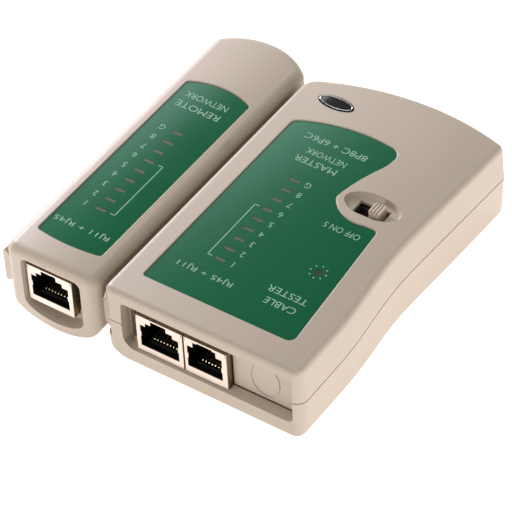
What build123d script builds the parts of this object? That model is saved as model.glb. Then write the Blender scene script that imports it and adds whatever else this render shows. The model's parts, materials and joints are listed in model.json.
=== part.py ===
from build123d import *
import os

# Two-piece network cable tester: a wide master unit and a slim remote unit that slides onto
# a rail in the master's left wall.  Millimetres, +Z up, X across both units, jacks at -Y.
# The origin is the centre of the footprint, on the surface that the tester stands on.

# ------------------------------------------------------------------ driving dimensions
rail_out = 3.0          # how far a rail stands out of the remote's side
remote_width = 30.5
body_gap = 1.0          # air between the two housings
master_width = 63.4
total_width = rail_out + remote_width + body_gap + master_width
total_length = 108.1
height = 25.0
wall = 2.0

remote_left = -total_width / 2 + rail_out
remote_right = remote_left + remote_width
remote_middle = (remote_left + remote_right) / 2
remote_front = -total_length / 2
remote_back = 52.6
remote_bottom = 0.8
remote_top = remote_bottom + height
remote_parting = 21.4
belly_rise = 8.7        # height of the remote's rounded underside
belly_middle = remote_bottom + belly_rise

master_left = remote_right + body_gap
master_right = total_width / 2
master_front = remote_front + 0.75
master_back = total_length / 2
master_parting = 13.9
draft_inset = 0.6       # how much the master narrows from its parting line to top and bottom
side_inset = draft_inset + wall
waist_depth = 2.5       # hand grip in the master's right side

seam_height = 0.3       # groove round the master where its two shells meet
seam_depth = 0.35
recess_depth = 3.5      # the end panels lie this far behind the front frames
panel_thickness = 1.8
panel_back = master_front + recess_depth + panel_thickness
remote_panel_back = remote_front + recess_depth + panel_thickness

# rail section, measured from the remote's side wall and from the ground
rail_foot = 8.2
rail_valley = 17.5      # bottom of the V between rail lip and wall
rail_lip = 19.75
rail_front = remote_front + 2.85
rail_back = 37.0
barb_reach = 0.75       # how far the master's barb stands out over its own wall
barb_tip = 18.2
groove_floor = master_left + 2.3
groove_foot = 7.6
groove_roof = 20.4
inner_left = groove_floor + 1.6

label_pocket = 0.7
label_thickness = 0.35
label_gap = 0.1
rim_radius = 0.35       # rounding of the label pockets' rims
label_bed = height - label_pocket
remote_label_bed = remote_top - label_pocket

# jacks: width, height and depth over the metal shield
wide_jack = 15.2
narrow_jack = 13.8
jack_height = 12.75
jack_depth = 15.5
shield_thickness = 0.35
jack_setback = 1.15     # jack faces behind the front frames
jack_top = 19.0
remote_jack_top = 20.2
jack_face = master_front + jack_setback
remote_jack_face = remote_front + jack_setback
master_jack_x = master_left + 10.05
second_jack_x = master_jack_x + wide_jack + 0.35
remote_jack_x = remote_left + 6.15

# circuit boards lie on top of the jacks
board_thickness = 1.6
board_bottom = jack_top + 0.15
board_top = board_bottom + board_thickness
remote_board_bottom = remote_jack_top + 0.1
remote_board_top = remote_board_bottom + board_thickness
ceiling = height - wall
remote_ceiling = remote_top - wall

# indicator lights
light_count = 9
light_pitch = 4.5
light_length = 3.8
light_width = 1.8
master_light_x = 6.6
master_light_y = -27.8
remote_light_x = -31.4
remote_light_y = -29.5
window_length = 3.2
window_width = 1.0
power_light_x = 31.6
power_light_y = -18.3

# slide switch
switch_x = 30.4
switch_y = 9.6
switch_slot_length = 9.6
switch_slot_width = 4.8
switch_travel = 4.8
switch_can_top = 21.4
switch_can_bottom = 16.8
switch_can_length = 13.2
switch_can_width = 6.6
switch_can_wall = 0.4
knob_length = 3.3
knob_width = 3.9
knob_top = height + 0.7
knob_rest_x = switch_x + 1.9
dish_y = switch_y + 0.6
dish_floor = height - 1.5

# 9 V block battery and its sliding cover
battery_length = 46.4
battery_width = 26.0
battery_height = 17.5
battery_x = -5.3
battery_y = 19.4
battery_z = 2.2
cover_left = -5.5
cover_right = 42.5
cover_front = 19.4
cover_lift = 0.2        # the cover's face above the ground
cover_flange_z = 1.1
cover_top = 2.1
cover_flange = 1.2
slide_clearance = 0.15

# screws
housing_screw_radius = 1.3
housing_head_radius = 2.4
board_screw_radius = 0.9
board_head_radius = 1.7
boss_radius = 2.6
boss_foot_radius = 3.4
boss_foot_top = 5.0
screw_head_top = 2.6    # height of the shoulder that the screw heads pull against
screw_clearance = 0.05
master_screws = [(-7.4, -44.6), (40.6, -43.8), (-7.4, 14.0), (41.7, 14.0)]
remote_screws = [(remote_middle, -33.9), (remote_middle, 40.0)]
master_board_screws = [(-6.6, -30.0), (-6.6, 9.0), (40.2, -28.0), (19.0, 9.0)]
remote_board_screws = [(-41.2, -32.0), (-20.6, 7.5)]

os.makedirs("parts", exist_ok=True)
made = {}


def save(builder, label):
    """Label one finished piece and write it to its own file."""
    builder.part.label = label
    export_step(builder.part, f"parts/{label}.step")
    made[label] = builder.part


# ------------------------------------------------------------------ shared outlines
def master_outline(inset):
    """Plan of the master: straight left side, bowed far end, waisted right side."""
    left = master_left + inset
    right = master_right - inset
    front = master_front + inset
    back = master_back - inset
    far_corner = (right - 0.2, back - 4.0)
    left_corner = (left, back - 8.5)
    with BuildSketch() as plan:
        with BuildLine():
            Line((left, front), (right, front))
            Line((right, front), (right, -36))
            Spline(
                (right, -36),
                (right - waist_depth, -3),
                (right - 0.85 * waist_depth, 12),
                far_corner,
                tangents=[(0, 1), (0.05, 1)],
            )
            ThreePointArc(far_corner, (18, back), left_corner)
            Line(left_corner, (left, front))
        make_face()
        for corner, radius in (
            ((left, front), 2.8),
            ((right, front), 3.2),
            (far_corner, 3.2),
            (left_corner, 6.0),
        ):
            fillet(plan.vertices().sort_by_distance(corner)[0], radius - inset)
    return plan.sketch


def master_cavity(inset):
    """Plan of the room inside the master, behind its end panel and beside its rail groove."""
    with BuildSketch() as plan:
        add(master_outline(inset))
        with Locations((inner_left, panel_back)):
            Rectangle(200, 200, align=(Align.MIN, Align.MIN), mode=Mode.INTERSECT)
    return plan.sketch


def remote_section(inset, shoulder):
    """Cross-section of the remote: flat top, rounded belly, shoulders rounded if asked for."""
    left = remote_left + inset
    right = remote_right - inset
    top = remote_top - inset
    with BuildSketch() as section:
        with BuildLine():
            Line((left, belly_middle), (left, top))
            Line((left, top), (right, top))
            Line((right, top), (right, belly_middle))
            EllipticalCenterArc(
                (remote_middle, belly_middle),
                remote_width / 2 - inset,
                belly_rise - inset,
                start_angle=180,
                arc_size=180,
            )
        make_face()
        if shoulder:
            fillet(section.vertices().group_by(Axis.Y)[-1], shoulder)
    return section.sketch


def remote_outline(inset):
    """Plan of the remote: straight sides, rounded near corners and a domed far end."""
    left = remote_left + inset
    right = remote_right - inset
    front = remote_front + inset
    back = remote_back - inset
    with BuildSketch() as plan:
        with BuildLine():
            Line((left, front), (right, front))
            Line((right, front), (right, back - 6.4))
            ThreePointArc((right, back - 6.4), (remote_middle, back), (left, back - 6.4))
            Line((left, back - 6.4), (left, front))
        make_face()
        fillet(plan.vertices().sort_by(Axis.Y)[:2], 3.2 - inset)
        fillet(plan.vertices().sort_by(Axis.Y)[-2:], 3.2 - inset)
    return plan.sketch


def master_label_outline(grow):
    """Plan of the master's label, with a bay round the switch."""
    with BuildSketch() as plan:
        with BuildLine():
            ThreePointArc((19.6, 8.6), (21.4, 17.0), (24.9, 26.0))
            Line((24.9, 26.0), (25.4, 32.2))
            ThreePointArc((25.4, 32.2), (12.7, 33.5), (-7.3, 28.3))
            Polyline((-7.3, 28.3), (-7.3, -43.6), (40.2, -43.6), (36.6, 2.7), (32.5, 2.7))
            ThreePointArc((32.5, 2.7), (24.4, 3.6), (19.6, 8.6))
        make_face()
        for corner, radius in (
            ((25.4, 32.2), 3.5),
            ((-7.3, 28.3), 2.5),
            ((-7.3, -43.6), 1.0),
            ((40.2, -43.6), 2.0),
            ((36.6, 2.7), 1.5),
            ((19.6, 8.6), 2.5),
            ((24.9, 26.0), 11.0),
        ):
            fillet(plan.vertices().sort_by_distance(corner)[0], radius)
        if grow:
            offset(amount=grow)
    return plan.sketch


def remote_label_outline(grow):
    """Plan of the remote's label: straight sides and bowed ends."""
    left = -41.4 - grow
    right = -20.4 + grow
    front = -44.4 - grow
    back = 25.7 + grow
    middle = (left + right) / 2
    with BuildSketch() as plan:
        with BuildLine():
            ThreePointArc((left, front), (middle, front - 0.95), (right, front))
            Line((right, front), (right, back))
            ThreePointArc((right, back), (middle, back + 2.6), (left, back))
            Line((left, back), (left, front))
        make_face()
        fillet(plan.vertices(), 1.0 + grow)
    return plan.sketch


def rim_edges(shell):
    """Edges round the opening in a shell's flat top."""
    top = shell.faces().filter_by(Axis.Z).sort_by(Axis.Z)[-1]
    return [edge for wire in top.inner_wires() for edge in wire.edges()]


def light_places(x, y):
    """Where the row of indicator lights stands."""
    return [(x, y + light_pitch * number) for number in range(light_count)]


def rail_profile(side):
    """Section of one rail on the remote; side is 1 for the right wall and -1 for the left."""
    wall_x = remote_middle + side * remote_width / 2
    points = [
        (-1.0, 9.2),
        (0.0, 10.0),
        (2.2, rail_foot),
        (rail_out, 8.9),
        (rail_out, rail_lip - 0.45),
        (2.55, rail_lip),
        (2.25, rail_lip),
        (0.0, rail_valley),
        (-1.0, rail_valley),
    ]
    with BuildSketch(Plane.XZ.offset(-rail_front)) as profile:
        with BuildLine():
            Polyline([(wall_x + side * x, z) for x, z in points], close=True)
        make_face()
    return profile.sketch


# ------------------------------------------------------------------ master housing
master_lower_plane = Plane.XY.offset(master_parting)
master_row = light_places(master_light_x, master_light_y)
jack_gap_right = second_jack_x + narrow_jack + 0.35
jack_gap_left = master_jack_x - 3.2
recess_left = master_left + 6.1
recess_right = master_right - 3.0
recess_foot = 5.5
recess_head = 21.5
tongue_foot = 6.9       # the blank panel hangs this far down, over the lower shell's sill
tongue_right = recess_right - 0.35


def cut_master_front():
    """Recess of the master's jack end, narrowing towards the panel."""
    with BuildSketch(Plane.XZ.offset(-master_front)) as mouth:
        with BuildLine():
            Polyline(
                (recess_left, recess_foot),
                (recess_right, recess_foot),
                (recess_right, recess_head),
                (recess_left, recess_head),
                close=True,
            )
        make_face()
        fillet(mouth.vertices().sort_by_distance((recess_left, recess_foot))[0], 4.0)
        fillet(mouth.vertices().sort_by_distance((recess_right, recess_foot))[0], 2.6)
        fillet(mouth.vertices().sort_by_distance((recess_left, recess_head))[0], 1.2)
        fillet(mouth.vertices().sort_by_distance((recess_right, recess_head))[0], 1.2)
    with BuildSketch(Plane.XZ.offset(-master_front - recess_depth)) as floor:
        left = recess_left + 0.5
        right = recess_right - 0.2
        foot = recess_foot + 1.1
        head = recess_head - 0.1
        with BuildLine():
            Polyline((left, foot), (right, foot), (right, head), (left, head), close=True)
        make_face()
        fillet(floor.vertices().sort_by_distance((left, foot))[0], 1.2)
        fillet(floor.vertices().sort_by_distance((right, foot))[0], 2.2)
        fillet(floor.vertices().sort_by_distance((left, head))[0], 0.8)
        fillet(floor.vertices().sort_by_distance((right, head))[0], 1.0)
    loft([mouth.sketch, floor.sketch], ruled=True, mode=Mode.SUBTRACT)


def cut_rail_groove():
    """Groove in the master's left wall that the remote's rail slides in, open at the front."""
    with BuildSketch(Plane.XZ.offset(-master_front + 1.0)) as groove:
        with BuildLine():
            Polyline(
                (master_left - 2.0, groove_foot),
                (groove_floor, groove_foot),
                (groove_floor, groove_roof),
                (master_left - barb_reach + groove_roof - barb_tip, groove_roof),
                (master_left - barb_reach, barb_tip),
                (master_left - 2.0, barb_tip),
                close=True,
            )
        make_face()
    length = rail_back + 0.5 - master_front + 1.0
    extrude(groove.sketch, amount=-length, mode=Mode.SUBTRACT)


with BuildPart() as master_top_shell:
    with BuildSketch(master_lower_plane):
        add(master_outline(0))
    with BuildSketch(Plane.XY.offset(height)):
        add(master_outline(draft_inset))
    loft(ruled=True)
    fillet(master_top_shell.edges().group_by(Axis.Z)[-1], 1.7)
    with BuildSketch(Plane.XZ.offset(-master_front - 1.6)):
        with BuildLine():
            Polyline(
                (master_left + 0.8, 23.0),
                (master_left - barb_reach, barb_tip),
                (master_left + 1.6, barb_tip),
                (master_left + 1.6, 23.0),
                close=True,
            )
        make_face()
    extrude(amount=-(rail_back + 3.0 - master_front))
    with BuildSketch(master_lower_plane):
        add(master_cavity(side_inset))
    extrude(amount=ceiling - master_parting, mode=Mode.SUBTRACT)
    cut_master_front()
    with BuildSketch(Plane.XZ.offset(-master_front - recess_depth)):
        with BuildLine():
            Polyline(
                (jack_gap_right, tongue_foot),
                (tongue_right, tongue_foot),
                (tongue_right, master_parting + 1.0),
                (jack_gap_right, master_parting + 1.0),
                close=True,
            )
        make_face()
    extrude(amount=-panel_thickness)
    with BuildSketch(Plane.XZ.offset(-master_front - recess_depth + 0.2)):
        with Locations(((jack_gap_right + tongue_right) / 2, 13.6)):
            Ellipse(4.6, 5.9)
            Ellipse(4.3, 5.6, mode=Mode.SUBTRACT)
    extrude(amount=-0.4)
    with BuildSketch(Plane.XZ.offset(-master_front - recess_depth + 0.5)):
        with BuildLine():
            Polyline(
                (jack_gap_left, 2.0),
                (jack_gap_right, 2.0),
                (jack_gap_right, jack_top + 0.9),
                (jack_gap_left, jack_top + 0.9),
                close=True,
            )
        make_face()
    extrude(amount=-panel_thickness - 0.7, mode=Mode.SUBTRACT)
    with Locations(*[Location((x, y, master_parting)) for x, y in master_screws]):
        Cylinder(
            boss_radius, ceiling - master_parting, align=(Align.CENTER, Align.CENTER, Align.MIN)
        )
    with Locations(*[Location((x, y, board_top)) for x, y in master_board_screws]):
        Cylinder(2.0, ceiling - board_top, align=(Align.CENTER, Align.CENTER, Align.MIN))
    with Locations((switch_x, switch_y, dish_floor - 1.0)):
        Box(
            21.0,
            12.2,
            ceiling - dish_floor + 1.0,
            align=(Align.CENTER, Align.CENTER, Align.MIN),
        )
    with Locations(*[Location((x, y, master_parting)) for x, y in master_screws]):
        Cylinder(
            housing_screw_radius + screw_clearance,
            7.0,
            align=(Align.CENTER, Align.CENTER, Align.MIN),
            mode=Mode.SUBTRACT,
        )
    with Locations(*[Location((x, y, board_top)) for x, y in master_board_screws]):
        Cylinder(
            board_screw_radius + screw_clearance,
            3.0,
            align=(Align.CENTER, Align.CENTER, Align.MIN),
            mode=Mode.SUBTRACT,
        )
    with BuildSketch(Plane.XY.offset(label_bed)):
        add(master_label_outline(label_gap))
    extrude(amount=label_pocket + 1.0, mode=Mode.SUBTRACT)
    fillet(rim_edges(master_top_shell), rim_radius)
    with BuildSketch(Plane.XY.offset(height)) as dish_rim:
        with Locations((switch_x, dish_y)):
            Ellipse(8.7, 4.6)
    with BuildSketch(Plane.XY.offset(dish_floor)) as dish_bed:
        with Locations((switch_x, dish_y)):
            Ellipse(7.7, 3.9)
    loft([dish_rim.sketch, dish_bed.sketch], ruled=True, mode=Mode.SUBTRACT)
    with Locations((switch_x, switch_y, height)):
        Box(switch_slot_length, switch_slot_width, 8.0, mode=Mode.SUBTRACT)
    with BuildSketch(Plane.XY.offset(height - 0.6)):
        with Locations((-0.9, 40.2)):
            Ellipse(5.8, 2.6)
    extrude(amount=1.0, mode=Mode.SUBTRACT)
    with Locations(*[Location((x, y, height - 2.5)) for x, y in master_row]):
        Box(light_length + 0.5, light_width + 0.5, 6.0, mode=Mode.SUBTRACT)
    with Locations((power_light_x, power_light_y, height - 2.5)):
        Cylinder(1.8, 6.0, mode=Mode.SUBTRACT)
    cut_rail_groove()
    with BuildSketch(master_lower_plane) as top_seam:
        add(master_outline(-0.5))
        add(master_outline(seam_depth), mode=Mode.SUBTRACT)
    extrude(amount=seam_height / 2, mode=Mode.SUBTRACT)
save(master_top_shell, "master_top_shell")

cover_cut_top = cover_top + slide_clearance

with BuildPart() as master_hull:
    with BuildSketch(master_lower_plane):
        add(master_outline(0))
    with BuildSketch():
        add(master_outline(draft_inset))
    loft(ruled=True)
    with BuildSketch(Plane.XZ.offset(-master_front + 5.0)) as rounded:
        with BuildLine():
            Polyline(
                (master_left, 0),
                (master_right, 0),
                (master_right, 30),
                (master_left, 30),
                close=True,
            )
        make_face()
        fillet(rounded.vertices().sort_by_distance((master_left, 0))[0], 7.0)
        fillet(rounded.vertices().sort_by_distance((master_right, 0))[0], 4.0)
    extrude(amount=-total_length - 10.0, mode=Mode.INTERSECT)
    foot_edges = master_hull.edges().group_by(Axis.Z)[0]
    fillet([foot_edges.sort_by(Axis.Y)[0], foot_edges.sort_by(Axis.Y)[-1]], 1.2)

with BuildPart() as master_bottom_shell:
    add(master_hull.part)
    with BuildSketch(Plane.XY.offset(wall)):
        add(master_cavity(side_inset))
    extrude(amount=master_parting, mode=Mode.SUBTRACT)
    cut_master_front()
    with Locations((master_jack_x - 0.8, jack_face - 0.2, jack_top - jack_height - 0.15)):
        Box(
            jack_gap_right - master_jack_x + 0.8,
            panel_back - jack_face + 0.4,
            20.0,
            align=(Align.MIN, Align.MIN, Align.MIN),
            mode=Mode.SUBTRACT,
        )
    with Locations((jack_gap_left, panel_back - panel_thickness - 0.3, recess_foot + 1.8)):
        Box(
            master_jack_x - jack_gap_left,
            panel_thickness + 0.5,
            20.0,
            align=(Align.MIN, Align.MIN, Align.MIN),
            mode=Mode.SUBTRACT,
        )
    with Locations((jack_gap_right, panel_back - panel_thickness - 0.2, recess_foot + 0.7)):
        Box(
            recess_right - 0.1 - jack_gap_right,
            panel_thickness + 0.4,
            20.0,
            align=(Align.MIN, Align.MIN, Align.MIN),
            mode=Mode.SUBTRACT,
        )
    with Locations(*[Location((x, y, wall)) for x, y in master_screws]):
        Cylinder(
            boss_radius, master_parting - wall, align=(Align.CENTER, Align.CENTER, Align.MIN)
        )
        Cylinder(
            boss_foot_radius, boss_foot_top - wall, align=(Align.CENTER, Align.CENTER, Align.MIN)
        )
    with Locations((cover_left - 2.7, cover_front - 1.6, wall)):
        Box(
            cover_right - cover_left + 5.4,
            1.2,
            6.0,
            align=(Align.MIN, Align.MIN, Align.MIN),
        )
    with Locations((cover_left - 2.7, cover_front - 1.0, wall)):
        Box(2.5, 26.0, 2.4, align=(Align.MIN, Align.MIN, Align.MIN))
    with Locations((cover_right - 0.4, cover_front - 1.0, wall)):
        Box(3.0, 29.5, 2.4, align=(Align.MIN, Align.MIN, Align.MIN))
    with Locations(*[Location((x, y, 0)) for x, y in master_screws]):
        Cylinder(
            housing_screw_radius + 0.2,
            40.0,
            align=(Align.CENTER, Align.CENTER, Align.MIN),
            mode=Mode.SUBTRACT,
        )
        Cylinder(
            housing_head_radius + 0.2,
            screw_head_top,
            align=(Align.CENTER, Align.CENTER, Align.MIN),
            mode=Mode.SUBTRACT,
        )
    with BuildSketch(Plane.XZ.offset(slide_clearance - cover_front)) as cover_way:
        with BuildLine():
            Polyline(
                (cover_left - slide_clearance, -1.0),
                (cover_right + slide_clearance, -1.0),
                (cover_right + slide_clearance, cover_flange_z - slide_clearance),
                (cover_right + cover_flange + slide_clearance, cover_flange_z - slide_clearance),
                (cover_right + cover_flange + slide_clearance, cover_cut_top),
                (cover_left - cover_flange - slide_clearance, cover_cut_top),
                (cover_left - cover_flange - slide_clearance, cover_flange_z - slide_clearance),
                (cover_left - slide_clearance, cover_flange_z - slide_clearance),
                close=True,
            )
        make_face()
    extrude(cover_way.sketch, amount=-60.0, mode=Mode.SUBTRACT)
    cut_rail_groove()
    with BuildSketch(master_lower_plane) as lower_seam:
        add(master_outline(-0.5))
        add(master_outline(seam_depth), mode=Mode.SUBTRACT)
    extrude(amount=-seam_height / 2, mode=Mode.SUBTRACT)
save(master_bottom_shell, "master_bottom_shell")


# ------------------------------------------------------------------ remote housing
remote_row = light_places(remote_light_x, remote_light_y)
remote_recess_left = remote_left + 5.35
remote_recess_right = remote_right - 5.4
remote_recess_head = remote_top - 3.0
remote_gap_left = remote_jack_x - 0.2
remote_gap_right = remote_jack_x + wide_jack + 0.2
remote_slit_right = remote_recess_right - 0.8


def remote_recess(inset):
    """Section of the remote's jack-end recess, following the belly below."""
    left = remote_recess_left + inset
    right = remote_recess_right - inset
    head = remote_recess_head - inset
    middle = (left + right) / 2
    with BuildSketch() as section:
        with BuildLine():
            Line((left, 8.2), (left, head))
            Line((left, head), (right, head))
            Line((right, head), (right, 8.2))
            EllipticalCenterArc(
                (middle, 8.2), (right - left) / 2, 4.8 - inset, start_angle=180, arc_size=180
            )
        make_face()
        fillet(section.vertices().group_by(Axis.Y)[-1], 2.2)
    return section.sketch


def cut_remote_front():
    """Recess of the remote's jack end and the window that its jack stands in."""
    with BuildSketch(Plane.XZ.offset(-remote_front)) as mouth:
        add(remote_recess(0))
    with BuildSketch(Plane.XZ.offset(-remote_front - recess_depth)) as floor:
        add(remote_recess(0.6))
    loft([mouth.sketch, floor.sketch], ruled=True, mode=Mode.SUBTRACT)
    for right, drop in ((remote_gap_right, jack_height + 0.1), (remote_slit_right, 11.2)):
        with Locations((remote_gap_left, remote_front + recess_depth - 0.5, remote_jack_top + 0.7)):
            Box(
                right - remote_gap_left,
                panel_thickness + 0.8,
                drop + 0.7,
                align=(Align.MIN, Align.MIN, Align.MAX),
                mode=Mode.SUBTRACT,
            )


with BuildPart() as remote_hull:
    with BuildSketch() as remote_plan:
        add(remote_outline(0))
    extrude(remote_plan.sketch, amount=remote_top)
    fillet(remote_hull.edges().group_by(Axis.Z)[-1], 2.8)
    with BuildSketch(Plane.XZ.offset(-remote_front)) as remote_slice:
        add(remote_section(0, 0))
    extrude(remote_slice.sketch, amount=-total_length, mode=Mode.INTERSECT)

with BuildPart() as remote_room:
    with BuildSketch(Plane.XZ.offset(-remote_panel_back)) as room_slice:
        add(remote_section(wall, 1.0))
    extrude(room_slice.sketch, amount=-total_length)
    with BuildSketch() as room_plan:
        add(remote_outline(wall + 0.1))
    extrude(room_plan.sketch, amount=remote_top + 5.0, mode=Mode.INTERSECT)

with BuildPart() as remote_top_shell:
    add(remote_hull.part)
    add(remote_room.part, mode=Mode.SUBTRACT)
    with Locations((remote_middle, 0, remote_parting)):
        Box(
            80,
            160,
            60,
            align=(Align.CENTER, Align.CENTER, Align.MAX),
            mode=Mode.SUBTRACT,
        )
    with Locations(*[Location((x, y, remote_parting)) for x, y in remote_screws]):
        Cylinder(
            boss_radius,
            remote_ceiling - remote_parting,
            align=(Align.CENTER, Align.CENTER, Align.MIN),
        )
    with Locations(*[Location((x, y, remote_board_top)) for x, y in remote_board_screws]):
        Cylinder(
            2.0,
            remote_ceiling - remote_board_top,
            align=(Align.CENTER, Align.CENTER, Align.MIN),
        )
    with Locations(*[Location((x, y, remote_parting)) for x, y in remote_screws]):
        Cylinder(
            housing_screw_radius + screw_clearance,
            3.0,
            align=(Align.CENTER, Align.CENTER, Align.MIN),
            mode=Mode.SUBTRACT,
        )
    with Locations(*[Location((x, y, remote_parting)) for x, y in remote_board_screws]):
        Cylinder(
            board_screw_radius + screw_clearance,
            remote_board_top + 2.6 - remote_parting,
            align=(Align.CENTER, Align.CENTER, Align.MIN),
            mode=Mode.SUBTRACT,
        )
    cut_remote_front()
    with BuildSketch(Plane.XY.offset(remote_label_bed)):
        add(remote_label_outline(label_gap))
    extrude(amount=label_pocket + 1.0, mode=Mode.SUBTRACT)
    fillet(rim_edges(remote_top_shell), rim_radius)
    with Locations(*[Location((x, y, remote_top - 2.5)) for x, y in remote_row]):
        Box(light_length + 0.5, light_width + 0.5, 6.0, mode=Mode.SUBTRACT)
save(remote_top_shell, "remote_top_shell")

with BuildPart() as remote_bottom_shell:
    add(remote_hull.part)
    extrude(rail_profile(1), amount=-(rail_back - rail_front))
    extrude(rail_profile(-1), amount=-(rail_back - rail_front))
    add(remote_room.part, mode=Mode.SUBTRACT)
    with Locations((remote_middle, 0, remote_parting)):
        Box(
            80,
            160,
            60,
            align=(Align.CENTER, Align.CENTER, Align.MIN),
            mode=Mode.SUBTRACT,
        )
    with Locations(*[Location((x, y, remote_bottom + wall - 0.3)) for x, y in remote_screws]):
        Cylinder(
            boss_radius,
            remote_parting - remote_bottom - wall + 0.3,
            align=(Align.CENTER, Align.CENTER, Align.MIN),
        )
        Cylinder(boss_foot_radius, 3.5, align=(Align.CENTER, Align.CENTER, Align.MIN))
    cut_remote_front()
    with Locations(*[Location((x, y, 0)) for x, y in remote_screws]):
        Cylinder(
            housing_screw_radius + 0.2,
            40.0,
            align=(Align.CENTER, Align.CENTER, Align.MIN),
            mode=Mode.SUBTRACT,
        )
        Cylinder(
            housing_head_radius + 0.2,
            remote_bottom + screw_head_top,
            align=(Align.CENTER, Align.CENTER, Align.MIN),
            mode=Mode.SUBTRACT,
        )
save(remote_bottom_shell, "remote_bottom_shell")

# ------------------------------------------------------------------ labels, windows and badge
with BuildPart() as master_label:
    with BuildSketch(Plane.XY.offset(label_bed)):
        add(master_label_outline(0))
        with Locations(*master_row):
            Rectangle(window_length, window_width, mode=Mode.SUBTRACT)
        with Locations((power_light_x, power_light_y)):
            Circle(1.15, mode=Mode.SUBTRACT)
    extrude(amount=label_thickness)
save(master_label, "master_label")

with BuildPart() as master_label_windows:
    with BuildSketch(Plane.XY.offset(label_bed)):
        with Locations(*master_row):
            Rectangle(window_length - 0.04, window_width - 0.04)
    extrude(amount=label_thickness - 0.05)
save(master_label_windows, "master_label_windows")

with BuildPart() as power_window:
    with BuildSketch(Plane.XY.offset(label_bed)):
        with Locations((power_light_x, power_light_y)):
            Circle(1.13)
    extrude(amount=label_thickness - 0.05)
save(power_window, "power_window")

with BuildPart() as remote_label:
    with BuildSketch(Plane.XY.offset(remote_label_bed)):
        add(remote_label_outline(0))
        with Locations(*remote_row):
            Rectangle(window_length, window_width, mode=Mode.SUBTRACT)
    extrude(amount=label_thickness)
save(remote_label, "remote_label")

with BuildPart() as remote_label_windows:
    with BuildSketch(Plane.XY.offset(remote_label_bed)):
        with Locations(*remote_row):
            Rectangle(window_length - 0.04, window_width - 0.04)
    extrude(amount=label_thickness - 0.05)
save(remote_label_windows, "remote_label_windows")

with BuildPart() as oval_badge:
    with BuildSketch(Plane.XY.offset(height - 0.6)):
        with Locations((-0.9, 40.2)):
            Ellipse(5.7, 2.5)
    extrude(amount=0.8)
    chamfer(oval_badge.edges().group_by(Axis.Z)[-1], 0.25)
save(oval_badge, "oval_badge")

# ------------------------------------------------------------------ jacks
tail_depth = 13.9       # contact tails leave a jack this far behind its face
leg_depth = 8.0         # shield legs pass through the board this far behind the face
leg_width = 1.2
wire_pitch = 1.02
wire_width = 0.4
wire_thickness = 0.4


def jack_steps(left, top, steps, grow):
    """The socket opening: a wide mouth with narrower latch steps above it."""
    with BuildSketch() as opening:
        for x0, x1, drop0, drop1 in steps:
            with Locations(((x0 + x1) / 2 + left, top - (drop0 + drop1) / 2)):
                Rectangle(x1 - x0 + 2 * grow, drop1 - drop0 + 2 * grow)
    return opening.sketch


def wire_places(left, steps, count):
    """X of every contact wire, centred in the mouth."""
    middle = left + (steps[0][0] + steps[0][1]) / 2
    return [middle + wire_pitch * (number - (count - 1) / 2) for number in range(count)]


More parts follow.
